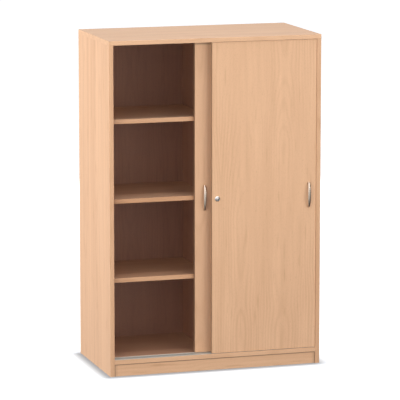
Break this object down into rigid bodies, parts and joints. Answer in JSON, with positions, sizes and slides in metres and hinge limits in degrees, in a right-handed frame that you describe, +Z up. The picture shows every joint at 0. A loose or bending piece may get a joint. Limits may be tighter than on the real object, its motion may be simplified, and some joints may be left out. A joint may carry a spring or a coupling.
{
  "type": "sliding door cabinet",
  "caption": "Tall beech cupboard with overlapping sliding doors on a double track, bow handles, a push lock and shelved columns behind a partition.",
  "frame": {"origin": "on the floor, at the centre of the whole cabinet's footprint, its front handle included", "axes": "+Z up; the doors face -Y; +X runs from the left side to the right side as seen from the front"},
  "size_m": [0.944, 0.517, 1.44],
  "materials": {
    "beech": "satin melamine with a fine beech grain",
    "beech_back": "satin melamine with a fine beech grain",
    "aluminium_profile": "satin anodised",
    "satin_nickel": "satin",
    "zinc_steel": "bright zinc",
    "grey_plastic": "fine matt",
    "white_plastic": "smooth matt"
  },
  "bodies": {
    "carcass": {"side_left": "beech", "side_right": "beech", "top_panel": "beech", "floor_panel": "beech", "plinth_front": "beech", "plinth_rear": "beech", "back_panel": "beech_back", "partition": "beech", "shelf_left_1": "beech", "shelf_left_2": "beech", "shelf_left_3": "beech", "shelf_right_1": "beech", "shelf_right_2": "beech", "shelf_right_3": "beech", "shelf_pin_left_1_front_a": "zinc_steel", "shelf_pin_left_1_front_b": "zinc_steel", "shelf_pin_left_1_rear_a": "zinc_steel", "shelf_pin_left_1_rear_b": "zinc_steel", "shelf_pin_left_3_front_a": "zinc_steel", "shelf_pin_left_3_front_b": "zinc_steel", "shelf_pin_left_3_rear_a": "zinc_steel", "shelf_pin_left_3_rear_b": "zinc_steel", "shelf_pin_right_1_front_a": "zinc_steel", "shelf_pin_right_1_front_b": "zinc_steel", "shelf_pin_right_1_rear_a": "zinc_steel", "shelf_pin_right_1_rear_b": "zinc_steel", "shelf_pin_right_3_front_a": "zinc_steel", "shelf_pin_right_3_front_b": "zinc_steel", "shelf_pin_right_3_rear_a": "zinc_steel", "shelf_pin_right_3_rear_b": "zinc_steel", "bottom_track": "aluminium_profile", "top_guide_track": "aluminium_profile"},
    "rear_door": {"rear_door_panel": "beech", "rear_door_handle": "satin_nickel", "rear_door_handle_screw_lower": "zinc_steel", "rear_door_handle_screw_upper": "zinc_steel", "rear_door_carriage_left": "grey_plastic", "rear_door_carriage_right": "grey_plastic", "rear_door_guide_left": "grey_plastic", "rear_door_guide_right": "grey_plastic", "lock_keeper": "grey_plastic"},
    "front_door": {"front_door_panel": "beech", "front_door_handle": "satin_nickel", "front_door_handle_screw_lower": "zinc_steel", "front_door_handle_screw_upper": "zinc_steel", "front_door_carriage_left": "grey_plastic", "front_door_carriage_right": "grey_plastic", "front_door_guide_left": "grey_plastic", "front_door_guide_right": "grey_plastic", "lock_housing": "satin_nickel"},
    "rear_roller_left": {"rear_door_roller_left": "white_plastic"},
    "rear_roller_right": {"rear_door_roller_right": "white_plastic"},
    "front_roller_left": {"front_door_roller_left": "white_plastic"},
    "front_roller_right": {"front_door_roller_right": "white_plastic"},
    "lock_plunger": {"lock_plunger": "satin_nickel"},
    "lock_plug": {"lock_plug": "zinc_steel"}
  },
  "joints": [
    {"name": "rear_door_slide", "type": "slide", "parent": "carcass", "child": "rear_door", "axis": [1, 0, 0], "range_m": [-0.3715, 0.0635]},
    {"name": "front_door_slide", "type": "slide", "parent": "carcass", "child": "front_door", "axis": [1, 0, 0], "range_m": [-0.435, 0]},
    {"name": "rear_roller_left_spin", "type": "hinge", "parent": "rear_door", "child": "rear_roller_left", "pos_m": [-0.021, -0.187, 0.08175], "axis": [0, 1, 0], "range_deg": [-2200, 400]},
    {"name": "rear_roller_right_spin", "type": "hinge", "parent": "rear_door", "child": "rear_roller_right", "pos_m": [0.329, -0.187, 0.08175], "axis": [0, 1, 0], "range_deg": [-2200, 400]},
    {"name": "front_roller_left_spin", "type": "hinge", "parent": "front_door", "child": "front_roller_left", "pos_m": [0.0425, -0.229, 0.08175], "axis": [0, 1, 0], "range_deg": [-2520, 20]},
    {"name": "front_roller_right_spin", "type": "hinge", "parent": "front_door", "child": "front_roller_right", "pos_m": [0.3925, -0.229, 0.08175], "axis": [0, 1, 0], "range_deg": [-2520, 20]},
    {"name": "lock_press", "type": "slide", "parent": "front_door", "child": "lock_plunger", "axis": [0, 1, 0], "range_m": [0, 0.012], "stiffness_N_per_m": 150},
    {"name": "lock_turn", "type": "hinge", "parent": "lock_plunger", "child": "lock_plug", "pos_m": [0.0065, -0.2485, 0.747], "axis": [0, 1, 0], "range_deg": [0, 90]}
  ],
  "couplings": [
    {"joint": "rear_roller_left_spin", "follows": "rear_door_slide", "rad_per_m": 100},
    {"joint": "rear_roller_right_spin", "follows": "rear_door_slide", "rad_per_m": 100},
    {"joint": "front_roller_left_spin", "follows": "front_door_slide", "rad_per_m": 100},
    {"joint": "front_roller_right_spin", "follows": "front_door_slide", "rad_per_m": 100}
  ]
}
